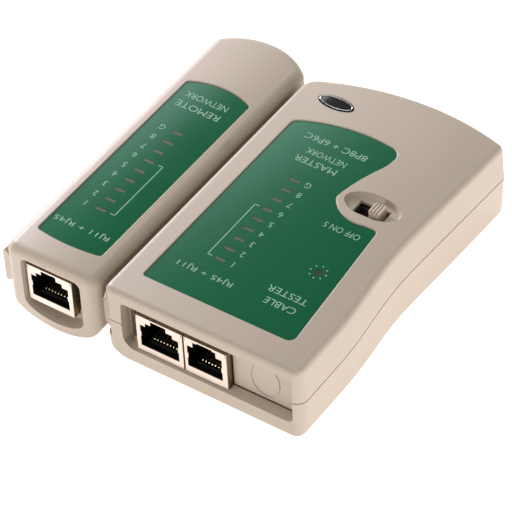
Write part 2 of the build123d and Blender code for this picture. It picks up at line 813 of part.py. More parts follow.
def make_jack(label, left, top, face, width, steps, count):
    """One shielded socket: folded shield, black insert and its contact wires."""
    right = left + width
    foot = top - jack_height
    mouth_left, mouth_right, mouth_head, mouth_foot = steps[0]
    floor = top - mouth_foot
    wires = wire_places(left, steps, count)
    with BuildPart() as shield:
        with Locations((left, face, foot)):
            Box(width, jack_depth, jack_height, align=(Align.MIN, Align.MIN, Align.MIN))
        fillet(shield.edges().filter_by(Axis.Z), 0.3)
        with Locations((left + shield_thickness, face + shield_thickness, foot + shield_thickness)):
            Box(
                width - 2 * shield_thickness,
                jack_depth - 2 * shield_thickness,
                jack_height - 2 * shield_thickness,
                align=(Align.MIN, Align.MIN, Align.MIN),
                mode=Mode.SUBTRACT,
            )
        with Locations((left + shield_thickness, face + 9.5, foot + 1.0)):
            Box(
                width - 2 * shield_thickness,
                4.8,
                jack_height,
                align=(Align.MIN, Align.MIN, Align.MIN),
                mode=Mode.SUBTRACT,
            )
        with BuildSketch(Plane.XZ.offset(-face + 0.2)) as mouth:
            add(jack_steps(left, top, steps, 0))
        extrude(mouth.sketch, amount=-0.9, mode=Mode.SUBTRACT)
        for corner in (left + 0.42, right - 0.42):
            with Locations((corner, face, top - 0.5)):
                Box(0.16, 0.8, 1.6, mode=Mode.SUBTRACT)
        for edge, way in ((left + mouth_left, 1), (left + mouth_right, -1)):
            with Locations((edge, face + 0.175, top - 6.5)):
                Box(
                    0.5,
                    0.35,
                    1.8,
                    align=(Align.CENTER, Align.CENTER, Align.CENTER),
                )
        for edge in (left + shield_thickness / 2, right - shield_thickness / 2):
            with Locations((edge, face + leg_depth, top - 1.0)):
                Box(
                    shield_thickness,
                    leg_width,
                    3.4,
                    align=(Align.CENTER, Align.CENTER, Align.MIN),
                )
    save(shield, label + "_shield")

    room = shield_thickness + 0.05
    with BuildPart() as insert:
        with Locations((left + room, face + room, foot + room)):
            Box(
                width - 2 * room,
                jack_depth - 2 * room,
                jack_height - 2 * room,
                align=(Align.MIN, Align.MIN, Align.MIN),
            )
        with BuildSketch(Plane.XZ.offset(-face)) as mouth:
            add(jack_steps(left, top, steps, 0.1))
        extrude(mouth.sketch, amount=-12.8, mode=Mode.SUBTRACT)
        with Locations((wires[0] - 1.0, face + 1.6, floor - 0.5)):
            Box(
                wires[-1] - wires[0] + 2.0,
                11.8,
                1.9,
                align=(Align.MIN, Align.MIN, Align.MIN),
            )
        with Locations((wires[0] - 1.0, face + 10.2, floor - 0.5)):
            Box(
                wires[-1] - wires[0] + 2.0,
                3.0,
                5.4,
                align=(Align.MIN, Align.MIN, Align.MIN),
            )
        with Locations(*[Location((x, face + 1.9, floor + 0.1)) for x in wires]):
            Box(
                wire_width + 0.1,
                tail_depth - 1.9 + 0.3,
                6.0,
                align=(Align.CENTER, Align.MIN, Align.MIN),
                mode=Mode.SUBTRACT,
            )
        with Locations(*[Location((x, face + tail_depth, floor + 0.1)) for x in wires]):
            Box(
                wire_width + 0.1,
                wire_thickness + 0.2,
                20.0,
                align=(Align.CENTER, Align.CENTER, Align.MIN),
                mode=Mode.SUBTRACT,
            )
    save(insert, label + "_insert")

    with BuildPart() as contacts:
        for x in wires:
            near = wire_thickness / 2
            with BuildSketch(Plane.YZ.offset(x - wire_width / 2)) as wire:
                with BuildLine():
                    Polyline(
                        (face + tail_depth + near, top + board_thickness + 0.8),
                        (face + tail_depth - near, top + board_thickness + 0.8),
                        (face + tail_depth - near, floor + 0.2 + wire_thickness),
                        (face + 2.9, floor + 0.2 + wire_thickness),
                        (face + 2.75, floor + 0.85),
                        (face + 2.95, floor + 1.15),
                        (face + 10.0, floor + 3.55),
                        (face + 10.0, floor + 3.95),
                        (face + 2.6, floor + 1.5),
                        (face + 2.25, floor + 0.95),
                        (face + 2.45, floor + 0.2),
                        (face + tail_depth + near, floor + 0.2),
                        close=True,
                    )
                make_face()
            extrude(wire.sketch, amount=wire_width)
    save(contacts, label + "_contacts")


wide_steps = [(1.45, 13.8, 3.2, 10.75), (3.15, 11.9, 1.95, 3.3), (4.95, 9.9, 0.5, 2.0)]
narrow_steps = [(1.1, 12.2, 2.75, 10.35), (2.95, 10.3, 0.9, 2.8), (4.3, 9.2, 0.5, 1.0)]
make_jack(
    "wide_jack", master_jack_x, jack_top, jack_face, wide_jack, wide_steps, 8
)
make_jack(
    "narrow_jack", second_jack_x, jack_top, jack_face, narrow_jack, narrow_steps, 6
)
make_jack(
    "remote_jack", remote_jack_x, remote_jack_top, remote_jack_face, wide_jack, wide_steps, 8
)

# ------------------------------------------------------------------ circuit boards
board_left = -8.6
board_right = 42.6
board_front = panel_back + 0.3
board_back = 15.5
remote_board_left = remote_left + wall + 0.5
remote_board_right = remote_right - wall - 0.5
remote_board_front = remote_panel_back + 0.3
remote_board_back = 34.0


def cut_jack_holes(left, face, width, steps, count):
    """Holes in a board for one jack's contact tails and shield legs."""
    with Locations(*[(x, face + tail_depth) for x in wire_places(left, steps, count)]):
        Circle(0.36, mode=Mode.SUBTRACT)
    with Locations(
        (left + shield_thickness / 2, face + leg_depth),
        (left + width - shield_thickness / 2, face + leg_depth),
    ):
        Rectangle(shield_thickness + 0.3, leg_width + 0.3, mode=Mode.SUBTRACT)


with BuildPart() as master_board:
    with BuildSketch(Plane.XY.offset(board_bottom)):
        with Locations((board_left, board_front)):
            Rectangle(
                board_right - board_left, board_back - board_front, align=(Align.MIN, Align.MIN)
            )
        with Locations(
            (board_left - 1.0, -41.5 - 10.0),
            (board_left - 1.0, 10.9),
        ):
            Rectangle(5.4, 10.0, align=(Align.MIN, Align.MIN), mode=Mode.SUBTRACT)
        with Locations((37.5, -40.8 - 10.0), (37.9, 10.9)):
            Rectangle(9.0, 10.0, align=(Align.MIN, Align.MIN), mode=Mode.SUBTRACT)
        with Locations((switch_x, switch_y)):
            Rectangle(switch_can_length + 0.6, switch_can_width + 0.6, mode=Mode.SUBTRACT)
        with Locations(*master_board_screws):
            Circle(board_screw_radius + 0.15, mode=Mode.SUBTRACT)
        cut_jack_holes(master_jack_x, jack_face, wide_jack, wide_steps, 8)
        cut_jack_holes(second_jack_x, jack_face, narrow_jack, narrow_steps, 6)
    extrude(amount=board_thickness)
save(master_board, "master_board")

with BuildPart() as remote_board:
    with BuildSketch(Plane.XY.offset(remote_board_bottom)):
        with Locations((remote_board_left, remote_board_front)):
            Rectangle(
                remote_board_right - remote_board_left,
                remote_board_back - remote_board_front,
                align=(Align.MIN, Align.MIN),
            )
        with Locations(remote_screws[0]):
            Circle(boss_radius + 0.2, mode=Mode.SUBTRACT)
        with Locations(*remote_board_screws):
            Circle(board_screw_radius + 0.15, mode=Mode.SUBTRACT)
        cut_jack_holes(remote_jack_x, remote_jack_face, wide_jack, wide_steps, 8)
    extrude(amount=board_thickness)
save(remote_board, "remote_board")


def make_lights(label, places, board, head):
    """A row of rectangular lights, each on a slightly wider foot."""
    with BuildPart() as lights:
        with Locations(*[Location((x, y, board)) for x, y in places]):
            Box(
                light_length,
                light_width,
                head - board,
                align=(Align.CENTER, Align.CENTER, Align.MIN),
            )
            Box(
                light_length + 0.6,
                light_width + 0.6,
                0.8,
                align=(Align.CENTER, Align.CENTER, Align.MIN),
            )
    save(lights, label)


make_lights("master_lights", master_row, board_top, label_bed - 0.3)
make_lights("remote_lights", remote_row, remote_board_top, remote_label_bed - 0.3)

with BuildPart() as power_light:
    with Locations((power_light_x, power_light_y, board_top)):
        Cylinder(1.9, 0.9, align=(Align.CENTER, Align.CENTER, Align.MIN))
        Cylinder(1.5, 1.8, align=(Align.CENTER, Align.CENTER, Align.MIN))
    with Locations((power_light_x, power_light_y, board_top + 1.8)):
        Sphere(1.5)
save(power_light, "power_light")


def make_chip(label, x, y, pins, under):
    """A dual-in-line chip hanging under a board, its length along Y."""
    rows = pins // 2
    length = rows * 2.54 + 0.4
    with BuildPart() as chip:
        with Locations((x, y, under - 0.6)):
            Box(6.4, length, 3.3, align=(Align.CENTER, Align.CENTER, Align.MAX))
        with Locations((x, y - length / 2, under - 3.9)):
            Cylinder(0.8, 0.8, mode=Mode.SUBTRACT)
        with Locations((x, y, under - 2.2)):
            with GridLocations(7.1, 2.54, 2, rows):
                Box(0.9, 1.2, 0.3)
        with Locations((x, y, under - 1.03)):
            with GridLocations(7.8, 2.54, 2, rows):
                Box(0.3, 0.6, 2.04)
    save(chip, label)


make_chip("timer_chip", 25.0, -22.0, 8, board_bottom)
make_chip("counter_chip", 14.5, -14.0, 16, board_bottom)


def make_axials(label, places, length, radius, reach, under):
    """Small wire-ended parts lying along Y under a board."""
    with BuildPart() as parts:
        for x, y in places:
            with Locations(Location((x, y, under - radius - 0.4), (90, 0, 0))):
                Cylinder(radius, length)
                Box(0.5, 0.5, reach)
            with Locations((x, y, under)):
                with GridLocations(0, reach - 0.5, 1, 2):
                    Box(0.5, 0.5, radius + 0.6, align=(Align.CENTER, Align.CENTER, Align.MAX))
    save(parts, label)


make_axials(
    "master_resistors",
    [(33.5, -34.0), (36.5, -34.0), (33.5, -10.0), (36.5, -10.0), (39.5, -10.0)],
    6.2,
    1.15,
    9.0,
    board_bottom,
)
make_axials(
    "master_diodes",
    [(0.5, -26.0 + 7.0 * number) for number in range(5)],
    3.2,
    0.9,
    6.0,
    board_bottom,
)
make_axials(
    "remote_diodes",
    [(-38.5, -24.0 + 7.0 * number) for number in range(8)],
    3.2,
    0.9,
    6.0,
    remote_board_bottom,
)
make_axials(
    "remote_resistors",
    [(-24.0, -24.0 + 10.0 * number) for number in range(3)],
    6.2,
    1.15,
    9.0,
    remote_board_bottom,
)

with BuildPart() as master_capacitors:
    for x, y, radius, drop in ((31.5, -24.0, 2.5, 7.0), (7.5, 4.0, 3.1, 8.0), (26.0, -6.0, 2.0, 6.0)):
        with Locations((x, y, board_bottom - 0.3)):
            Cylinder(radius, drop, align=(Align.CENTER, Align.CENTER, Align.MAX))
        with Locations((x - 1.0, y, board_bottom), (x + 1.0, y, board_bottom)):
            Cylinder(0.3, 0.6, align=(Align.CENTER, Align.CENTER, Align.MAX))
save(master_capacitors, "master_capacitors")

# ------------------------------------------------------------------ slide switch
ear_reach = 2.0
ear_thickness = 0.4
can_left = switch_x - switch_can_length / 2
can_right = switch_x + switch_can_length / 2
base_thickness = 0.9
flange_length = 6.4

with BuildPart() as switch_can:
    with Locations((switch_x, switch_y, switch_can_bottom)):
        Box(
            switch_can_length,
            switch_can_width,
            switch_can_top - switch_can_bottom,
            align=(Align.CENTER, Align.CENTER, Align.MIN),
        )
    with Locations((switch_x, switch_y, board_top + 0.02)):
        Box(
            switch_can_length + 2 * ear_reach,
            switch_can_width,
            ear_thickness,
            align=(Align.CENTER, Align.CENTER, Align.MIN),
        )
    with Locations((switch_x, switch_y, switch_can_bottom - 1.0)):
        Box(
            switch_can_length - 2 * switch_can_wall,
            switch_can_width - 2 * switch_can_wall,
            switch_can_top - switch_can_bottom + 1.0 - switch_can_wall,
            align=(Align.CENTER, Align.CENTER, Align.MIN),
            mode=Mode.SUBTRACT,
        )
    with Locations((switch_x, switch_y, switch_can_top)):
        Box(switch_slot_length - 0.2, knob_width + 0.3, 3.0, mode=Mode.SUBTRACT)
save(switch_can, "switch_can")

with BuildPart() as switch_base:
    with Locations((switch_x, switch_y, switch_can_bottom + 0.1)):
        Box(
            switch_can_length - 2 * switch_can_wall - 0.1,
            switch_can_width - 2 * switch_can_wall - 0.1,
            base_thickness,
            align=(Align.CENTER, Align.CENTER, Align.MIN),
        )
        with GridLocations(3.4, 2.6, 3, 2):
            Box(1.1, 0.7, 6.0, mode=Mode.SUBTRACT)
save(switch_base, "switch_base")

with BuildPart() as switch_terminals:
    with Locations((switch_x, switch_y, switch_can_bottom - 2.2)):
        with GridLocations(3.4, 2.6, 3, 2):
            Box(1.0, 0.6, 3.4, align=(Align.CENTER, Align.CENTER, Align.MIN))
save(switch_terminals, "switch_terminals")

with BuildPart() as switch_knob:
    with Locations((knob_rest_x, switch_y, 19.0)):
        Box(
            flange_length,
            switch_can_width - 2 * switch_can_wall - 0.3,
            switch_can_top - switch_can_wall - 0.1 - 19.0,
            align=(Align.CENTER, Align.CENTER, Align.MIN),
        )
        Box(
            knob_length, knob_width, knob_top - 19.0, align=(Align.CENTER, Align.CENTER, Align.MIN)
        )
    with Locations((knob_rest_x, switch_y, knob_top)):
        with GridLocations(0.9, 1.0, 3, 1):
            Box(0.4, knob_width + 1.0, 0.9, mode=Mode.SUBTRACT)
save(switch_knob, "switch_knob")

# ------------------------------------------------------------------ battery
plate_x = battery_x + battery_length + 0.3
plate_thickness = 2.8
stud_middle = battery_y + battery_width / 2
stud_z = battery_z + battery_height / 2
stud_pitch = 12.7
stud_depth = 1.9

with BuildPart() as battery:
    with Locations((battery_x, battery_y, battery_z)):
        Box(battery_length, battery_width, battery_height, align=(Align.MIN, Align.MIN, Align.MIN))
    fillet(battery.edges().filter_by(Axis.X), 2.0)
save(battery, "battery")

with BuildPart() as battery_terminals:
    for y, radius in ((stud_middle - stud_pitch / 2, 2.85), (stud_middle + stud_pitch / 2, 4.0)):
        with Locations(Location((battery_x + battery_length, y, stud_z), (0, 90, 0))):
            Cylinder(radius, stud_depth, align=(Align.CENTER, Align.CENTER, Align.MIN))
save(battery_terminals, "battery_terminals")

with BuildPart() as battery_snap_plate:
    with Locations((plate_x, stud_middle, stud_z)):
        Box(plate_thickness, 25.0, 12.4, align=(Align.MIN, Align.CENTER, Align.CENTER))
    fillet(battery_snap_plate.edges().filter_by(Axis.X), 3.0)
    for y, radius in ((stud_middle - stud_pitch / 2, 2.95), (stud_middle + stud_pitch / 2, 4.1)):
        with Locations(Location((plate_x - 1.0, y, stud_z), (0, 90, 0))):
            Cylinder(
                radius,
                stud_depth + 0.9,
                align=(Align.CENTER, Align.CENTER, Align.MIN),
                mode=Mode.SUBTRACT,
            )
save(battery_snap_plate, "battery_snap_plate")

with BuildPart() as battery_foam_pad:
    with Locations((battery_x + 4.0, battery_y + 3.0, battery_z + battery_height + 0.02)):
        Box(
            34.0,
            19.0,
            ceiling - battery_z - battery_height - 0.04,
            align=(Align.MIN, Align.MIN, Align.MIN),
        )
save(battery_foam_pad, "battery_foam_pad")


def make_lead(label, board_x, shift):
    """An insulated lead from the snap plate over the bay wall to the underside of the board."""
    radius = 0.6
    with BuildPart() as lead:
        with BuildLine() as path:
            Spline(
                (plate_x + 1.4, stud_middle - 12.52, stud_z + 2.0 * shift),
                (plate_x - 2.6, battery_y - 1.4, 13.0 + 1.2 * shift),
                (36.0 - shift, 15.6, 15.2 + shift),
                (board_x, 14.4, board_bottom - 0.02),
                tangents=[(0, -1, 0), (0, 0, 1)],
            )
        with BuildSketch(Plane(origin=path.line @ 0, z_dir=path.line % 0)):
            Circle(radius)
        sweep()
    save(lead, label)


make_lead("battery_lead_red", 33.6, 1.0)
make_lead("battery_lead_black", 36.8, -1.0)

with BuildPart() as battery_cover:
    with BuildSketch(Plane.XY.offset(cover_lift)) as cover_plan:
        with Locations((cover_left, cover_front)):
            Rectangle(cover_right - cover_left, 60, align=(Align.MIN, Align.MIN))
        add(master_outline(draft_inset), mode=Mode.INTERSECT)
    extrude(cover_plan.sketch, amount=cover_flange_z - cover_lift)
    with BuildSketch(Plane.XY.offset(cover_flange_z)) as flange_plan:
        with Locations((cover_left - cover_flange, cover_front)):
            Rectangle(
                cover_right - cover_left + 2 * cover_flange, 60, align=(Align.MIN, Align.MIN)
            )
        add(master_outline(draft_inset), mode=Mode.INTERSECT)
    extrude(flange_plan.sketch, amount=cover_top - cover_flange_z)
    with Locations(*[Location((18.5, 24.0 + 1.6 * number, cover_lift)) for number in range(6)]):
        Box(16.0, 0.8, 0.8, mode=Mode.SUBTRACT)
save(battery_cover, "battery_cover")


# ------------------------------------------------------------------ screws
def make_screws(label, places, head_bottom, head_height, head_radius, radius, tip):
    """Round-headed screws driven upwards, each with a crossed recess in its head."""
    with BuildPart() as screws:
        for x, y in places:
            with Locations((x, y, head_bottom)):
                Cylinder(head_radius, head_height, align=(Align.CENTER, Align.CENTER, Align.MIN))
                Cylinder(radius, tip - head_bottom, align=(Align.CENTER, Align.CENTER, Align.MIN))
            with Locations((x, y, head_bottom)):
                Box(head_radius * 1.2, 0.5, 1.0, mode=Mode.SUBTRACT)
                Box(0.5, head_radius * 1.2, 1.0, mode=Mode.SUBTRACT)
    save(screws, label)


make_screws(
    "master_housing_screws",
    master_screws,
    screw_head_top - 1.7,
    1.7,
    housing_head_radius,
    housing_screw_radius,
    master_parting + 6.5,
)
make_screws(
    "remote_housing_screws",
    remote_screws,
    remote_bottom + screw_head_top - 1.7,
    1.7,
    housing_head_radius,
    housing_screw_radius,
    remote_parting + 2.5,
)
make_screws(
    "master_board_screws",
    master_board_screws,
    board_bottom - 1.0,
    1.0,
    board_head_radius,
    board_screw_radius,
    board_top + 2.6,
)
make_screws(
    "remote_board_screws",
    remote_board_screws,
    remote_board_bottom - 1.0,
    1.0,
    board_head_radius,
    board_screw_radius,
    remote_board_top + 2.3,
)
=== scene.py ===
"""Looks of the two-piece network cable tester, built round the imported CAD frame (metres)."""
import json
import math

import bmesh
import bpy
from mathutils import Matrix, Vector


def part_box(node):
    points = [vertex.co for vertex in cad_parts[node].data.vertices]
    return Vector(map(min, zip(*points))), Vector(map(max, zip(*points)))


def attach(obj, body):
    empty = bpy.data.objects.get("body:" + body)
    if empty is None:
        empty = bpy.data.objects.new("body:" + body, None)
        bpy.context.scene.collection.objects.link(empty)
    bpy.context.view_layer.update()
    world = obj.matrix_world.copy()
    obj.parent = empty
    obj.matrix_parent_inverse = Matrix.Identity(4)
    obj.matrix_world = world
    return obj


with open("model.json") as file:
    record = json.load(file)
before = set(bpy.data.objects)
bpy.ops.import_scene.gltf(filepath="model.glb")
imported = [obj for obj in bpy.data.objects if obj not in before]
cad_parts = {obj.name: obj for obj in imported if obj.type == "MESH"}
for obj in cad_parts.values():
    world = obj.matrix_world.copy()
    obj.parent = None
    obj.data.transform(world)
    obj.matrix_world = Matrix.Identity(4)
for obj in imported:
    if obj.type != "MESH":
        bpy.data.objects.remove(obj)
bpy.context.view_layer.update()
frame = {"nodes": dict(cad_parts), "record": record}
nodes = frame["nodes"]

MM = 0.001
LABEL_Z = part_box("master_label")[1][2]
REMOTE_LABEL_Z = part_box("remote_label")[1][2]
PRINT = 0.03 * MM  # thickness of the printing on the labels
SMOOTH_BELOW = math.radians(28)  # edges that turn by less than this shade smooth


def srgb(r, g, b):
    """0-255 sRGB colour as linear RGBA."""
    out = []
    for value in (r, g, b):
        c = value / 255
        out.append(c / 12.92 if c <= 0.04045 else ((c + 0.055) / 1.055) ** 2.4)
    return (*out, 1.0)


# ------------------------------------------------------------------ materials
class Nodes:
    """Short spelling for building a node tree on object coordinates."""

    def __init__(self, name):
        self.mat = bpy.data.materials.new(name)
        self.mat.use_nodes = True
        self.tree = self.mat.node_tree
        self.shader = self.tree.nodes["Principled BSDF"]
        self.coords = self.tree.nodes.new("ShaderNodeTexCoord").outputs["Object"]

    def add(self, kind, inputs=None, **settings):
        node = self.tree.nodes.new(kind)
        for key, value in settings.items():
            setattr(node, key, value)
        for key, value in (inputs or {}).items():
            if isinstance(value, bpy.types.NodeSocket):
                self.tree.links.new(value, node.inputs[key])
            else:
                node.inputs[key].default_value = value
        return node

    def noise(self, scale, detail=3.0, roughness=0.5, vector=None):
        return self.add(
            "ShaderNodeTexNoise",
            {"Vector": vector or self.coords, "Scale": scale, "Detail": detail, "Roughness": roughness},
        ).outputs["Fac"]

    def stretch(self, x, y, z):
        """Object coordinates scaled apart along each axis."""
        return self.add(
            "ShaderNodeMapping", {"Vector": self.coords, "Scale": (x, y, z)}
        ).outputs["Vector"]

    def ramp(self, fac, low, high):
        """Map the middle of a noise factor to a range of numbers."""
        return self.add(
            "ShaderNodeMapRange",
            {"Value": fac, "From Min": 0.3, "From Max": 0.7, "To Min": low, "To Max": high},
        ).outputs["Result"]

    def mix(self, fac, a, b):
        node = self.add("ShaderNodeMix", data_type="RGBA")
        for index, value in ((0, fac), (6, a), (7, b)):
            if isinstance(value, bpy.types.NodeSocket):
                self.tree.links.new(value, node.inputs[index])
            else:
                node.inputs[index].default_value = value
        return node.outputs[2]

    def bump(self, height, distance, strength=1.0, normal=None):
        inputs = {"Height": height, "Distance": distance, "Strength": strength}
        if normal is not None:
            inputs["Normal"] = normal
        return self.add("ShaderNodeBump", inputs).outputs["Normal"]

    def crown(self, middle, radius, normal=None):
        """Normal of a very shallow cylinder along Y: a flat top only shades as if it were bowed."""
        x = self.add("ShaderNodeSeparateXYZ", {"Vector": self.coords}).outputs["X"]
        away = self.add("ShaderNodeMath", {0: x, 1: middle * MM}, operation="SUBTRACT").outputs[0]
        square = self.add("ShaderNodeMath", {0: away, 1: away}, operation="MULTIPLY").outputs[0]
        drop = self.add(
            "ShaderNodeMath", {0: square, 1: -0.5 / (radius * MM)}, operation="MULTIPLY"
        ).outputs[0]
        return self.bump(drop, 1.0, 1.0, normal)

    def bevel(self, radius):
        return self.add("ShaderNodeBevel", {"Radius": radius}, samples=4).outputs["Normal"]

    def link(self, socket, value):
        """Set an input of the shader to a number or colour, or link a node to it."""
        if isinstance(value, bpy.types.NodeSocket):
            self.tree.links.new(value, self.shader.inputs[socket])
        else:
            self.shader.inputs[socket].default_value = value


def moulded(name, base, roughness=0.45, grain=0.02, spread=0.06, edge=0.25, coat=0.0, bow=None):
    """Injection-moulded plastic: slight colour drift, spark-eroded grain, softened edges."""
    n = Nodes(name)
    drift = n.ramp(n.noise(35.0, 2.0), 0.0, 1.0)
    darker = tuple(c * (1 - spread) for c in base[:3]) + (1.0,)
    lighter = tuple(min(1.0, c * (1 + spread)) for c in base[:3]) + (1.0,)
    fine = n.noise(4200.0, 2.0, 0.6)
    tone = n.mix(drift, darker, lighter)
    n.link("Base Color", n.mix(n.ramp(fine, 0.0, 0.10), tone, darker))
    n.link("Roughness", n.ramp(n.noise(900.0, 3.0), roughness - 0.05, roughness + 0.05))
    normal = n.bevel(edge * MM) if edge else None
    if bow:
        normal = n.crown(*bow, normal)
    if grain:
        normal = n.bump(fine, grain * MM, 0.6, normal)
    if normal is not None:
        n.link("Normal", normal)
    n.link("Coat Weight", coat)
    n.link("Coat Roughness", 0.15)
    return n.mat


def sheet_metal(name, base, roughness=0.3, brushing=(60.0, 2500.0, 2500.0), painted_shade_colour=None):
    """Plated sheet steel with faint rolling lines and blotches; every face but the front may take a
    darker colour, which is painted shade.
    """
    n = Nodes(name)
    lines = n.noise(1.0, 3.0, 0.6, n.stretch(*brushing))
    blotch = n.noise(260.0, 3.0)
    worn = tuple(c * 0.82 for c in base[:3]) + (1.0,)
    colour = n.mix(n.ramp(blotch, 0.0, 0.5), base, worn)
    # painted shade: faces not turned to the front (-Y) get the darker given colour
    if painted_shade_colour:
        facing = n.add("ShaderNodeTexCoord").outputs["Normal"]
        forward = n.add("ShaderNodeSeparateXYZ", {"Vector": facing}).outputs["Y"]
        front = n.add("ShaderNodeMath", {0: forward, 1: -0.8}, operation="LESS_THAN").outputs[0]
        colour = n.mix(front, painted_shade_colour, colour)
    n.link("Base Color", colour)
    n.link("Metallic", 1.0)
    n.link("Roughness", n.ramp(lines, roughness - 0.07, roughness + 0.09))
    n.link("Normal", n.bump(lines, 0.004 * MM, 0.5, n.bevel(0.08 * MM)))
    return n.mat


def film(name, base, middle, radius, roughness=0.2):
    """Printed overlay film: even colour, very fine orange peel, satin gloss, slightly bowed."""
    n = Nodes(name)
    peel = n.noise(1500.0, 2.0)
    cloud = n.noise(28.0, 2.0)
    lighter = tuple(min(1.0, c * 1.14) for c in base[:3]) + (1.0,)
    n.link("Base Color", n.mix(n.ramp(cloud, 0.0, 1.0), base, lighter))
    n.link("Roughness", n.ramp(peel, roughness - 0.04, roughness + 0.05))
    n.link("Normal", n.bump(peel, 0.004 * MM, 0.5, n.crown(middle, radius)))
    n.link("Specular Tint", (0.5, 1.0, 0.8, 1.0))
    return n.mat


def ink(name, base):
    """Screen-printed ink, a little uneven."""
    n = Nodes(name)
    thin = tuple(c * 0.8 for c in base[:3]) + (1.0,)
    n.link("Base Color", n.mix(n.ramp(n.noise(1800.0, 3.0), 0.0, 0.6), base, thin))
    n.link("Roughness", n.ramp(n.noise(2600.0, 2.0), 0.4, 0.55))
    return n.mat


def laminate(name):
    """Circuit board: green mask with broad copper runs showing faintly through it."""
    n = Nodes(name)
    cells = n.add(
        "ShaderNodeTexBrick",
        {
            "Vector": n.coords,
            "Color1": srgb(22, 78, 40),
            "Color2": srgb(26, 88, 46),
            "Mortar": srgb(44, 122, 66),
            "Scale": 130.0,
            "Mortar Size": 0.03,
            "Mortar Smooth": 0.2,
            "Brick Width": 0.9,
            "Row Height": 0.28,
        },
    )
    n.link("Base Color", cells.outputs["Color"])
    n.link("Roughness", n.ramp(n.noise(900.0), 0.25, 0.38))
    n.link("Normal", n.bump(cells.outputs["Fac"], 0.03 * MM, 0.5))
    return n.mat


def clear(name, base, transmission=0.6, roughness=0.2):
    """Tinted epoxy or clear film."""
    n = Nodes(name)
    cloud = n.noise(600.0, 2.0)
    deeper = tuple(c * 0.7 for c in base[:3]) + (1.0,)
    n.link("Base Color", n.mix(n.ramp(cloud, 0.0, 1.0), base, deeper))
    n.link("Roughness", n.ramp(n.noise(1500.0), roughness - 0.04, roughness + 0.06))
    n.link("Transmission Weight", transmission)
    n.link("IOR", 1.5)
    return n.mat


def banded(name, base, bands, period, width):
    """Small wire-ended part: lacquered body with painted rings along Y."""
    n = Nodes(name)
    axis = n.add("ShaderNodeSeparateXYZ", {"Vector": n.coords}).outputs["Y"]
    wave = n.add("ShaderNodeMath", {0: axis, 1: period}, operation="MODULO").outputs[0]
    ring = n.add("ShaderNodeMath", {0: wave, 1: width}, operation="LESS_THAN").outputs[0]
    n.link("Base Color", n.mix(ring, base, bands))
    n.link("Roughness", n.ramp(n.noise(1500.0), 0.22, 0.36))
    n.link("Coat Weight", 0.4)
    return n.mat


CREAM = srgb(188, 175, 157)
housing = moulded("housing_plastic", CREAM, 0.44, 0.018, 0.02, 0.2, 0.0, (17.0, 320.0))
remote_housing = moulded("remote_plastic", CREAM, 0.44, 0.018, 0.02, 0.2, 0.0, (-31.0, 85.0))
green = film("label_film", srgb(4, 88, 54), 14.0, 300.0)
remote_green = film("remote_label_film", srgb(4, 88, 54), -31.0, 130.0)
printed = ink("label_ink", srgb(146, 190, 166))
window = moulded("window_film", srgb(88, 87, 76), 0.3, 0.004, 0.10, 0.0, 0.2)
smoke = moulded("smoke_film", srgb(30, 42, 34), 0.25, 0.004, 0.10, 0.0, 0.2)
badge_black = moulded("badge_plastic", srgb(6, 6, 7), 0.12, 0.002, 0.10, 0.0, 0.15, (-3.6, 24.0))
# the shields' top and sides are painted darker brown: painted shade under the recess lip
tin = sheet_metal("shield_steel", srgb(232, 216, 203), 0.4, painted_shade_colour=srgb(150, 134, 108))
insert_black = moulded("jack_plastic", srgb(5, 5, 5), 0.6, 0.012, 0.10, 0.0)
insert_black.node_tree.nodes["Principled BSDF"].inputs["Specular IOR Level"].default_value = 0.15
gold = sheet_metal("contact_gold", srgb(168, 154, 130), 0.3, (2500.0, 80.0, 2500.0))
board = laminate("board_laminate")
lamp = clear("light_epoxy", srgb(96, 150, 84))
power_lamp = clear("power_epoxy", srgb(190, 50, 34))
chip = moulded("chip_black", srgb(24, 24, 26), 0.5, 0.02, 0.08, 0.1)
resistor = banded("resistor_body", srgb(205, 184, 142), srgb(110, 60, 28), 0.0017, 0.0005)
diode = banded("diode_glass", srgb(196, 92, 48), srgb(20, 18, 18), 0.007, 0.0008)
sleeve = moulded("capacitor_sleeve", srgb(28, 34, 66), 0.28, 0.004, 0.08, 0.2, 0.4)
steel = sheet_metal("switch_steel", srgb(176, 178, 182), 0.32)
phenolic = moulded("switch_phenolic", srgb(112, 72, 40), 0.55, 0.02, 0.14, 0.1)
brass = sheet_metal("terminal_brass", srgb(214, 184, 112), 0.28)
knob = moulded("knob_plastic", srgb(206, 192, 176), 0.42, 0.01, 0.04, 0.12)
case = moulded("battery_case", srgb(30, 32, 40), 0.3, 0.004, 0.10, 0.3, 0.5)
studs = sheet_metal("battery_studs", srgb(206, 206, 208), 0.18)
snap = moulded("snap_plastic", srgb(22, 22, 24), 0.5, 0.02, 0.08, 0.2)
foam = moulded("foam", srgb(44, 44, 46), 0.9, 0.12, 0.25, 0.4)
red_pvc = moulded("red_sleeve", srgb(176, 26, 20), 0.38, 0.006, 0.06, 0.0)
black_pvc = moulded("black_sleeve", srgb(20, 20, 21), 0.38, 0.006, 0.06, 0.0)
screw = sheet_metal("screw_steel", srgb(168, 168, 172), 0.28)
silver = sheet_metal("badge_silver", srgb(214, 216, 220), 0.22)

BY_SLOT = {
    "housing_plastic": housing,
    "label_film": green,
    "window_film": window,
    "badge_plastic": badge_black,
    "shield_steel": tin,
    "jack_plastic": insert_black,
    "contact_gold": gold,
    "board_laminate": board,
    "light_epoxy": lamp,
    "power_epoxy": power_lamp,
    "chip_black": chip,
    "resistor_body": resistor,
    "diode_glass": diode,
    "capacitor_sleeve": sleeve,
    "switch_steel": steel,
    "switch_phenolic": phenolic,
    "terminal_brass": brass,
    "knob_plastic": knob,
    "battery_case": case,
    "battery_studs": studs,
    "snap_plastic": snap,
    "foam": foam,
    "red_sleeve": red_pvc,
    "black_sleeve": black_pvc,
    "screw_steel": screw,
}
BY_NODE = {
    "remote_label": remote_green,
    "power_window": smoke,
    "remote_top_shell": remote_housing,
    "remote_bottom_shell": remote_housing,
}
SLOT_OF = {entry["node"]: entry["material_slot"] for entry in frame["record"]["subparts"]}
